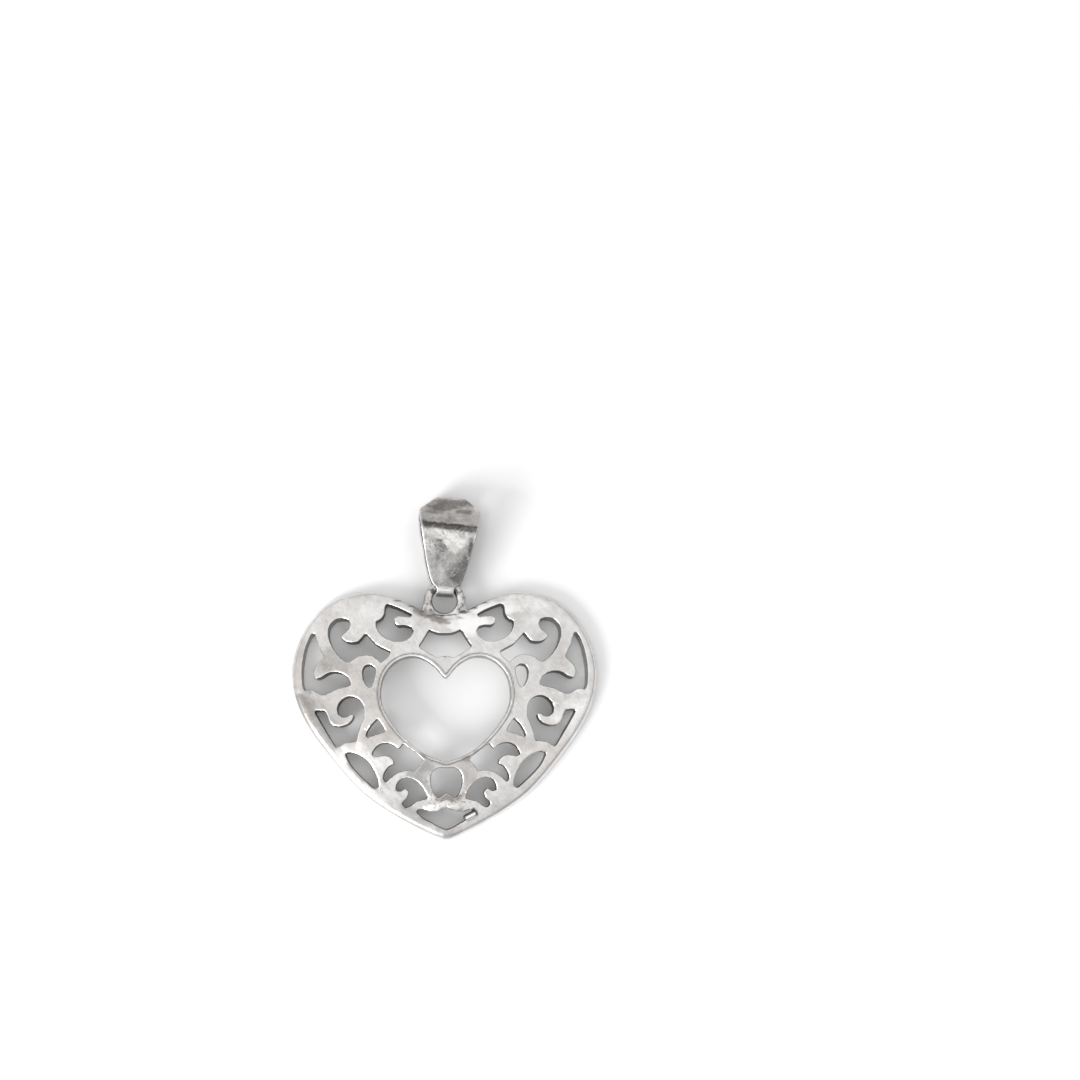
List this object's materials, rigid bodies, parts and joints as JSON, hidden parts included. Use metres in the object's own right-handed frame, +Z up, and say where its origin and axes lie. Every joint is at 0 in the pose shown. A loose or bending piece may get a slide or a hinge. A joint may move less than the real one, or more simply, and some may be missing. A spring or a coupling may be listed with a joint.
{
  "type": "heart pendant",
  "caption": "Domed heart pendant of silver, pierced with scrolls and leaves round an open heart, with a plain ring soldered in its cleft and a tapered folded bail for a chain.",
  "frame": {"origin": "under the middle of the whole pendant, on the surface that it lies on", "axes": "+X across the heart to its right lobe, +Y from the tip to the bail, +Z up out of the domed face"},
  "size_m": [0.026, 0.0294, 0.0037],
  "materials": {
    "heart_silver": "worn satin sterling silver",
    "bail_silver": "worn satin sterling silver, more tarnished"
  },
  "bodies": {
    "heart": {"pierced_heart": "heart_silver"},
    "bail": {"bail": "bail_silver"}
  },
  "joints": [
    {"name": "bail_swing", "type": "hinge", "parent": "heart", "child": "bail", "pos_m": [0.0001, 0.00704, 0.0013], "axis": [0.9976, -0.0698, 0], "range_deg": [0, 40]}
  ]
}
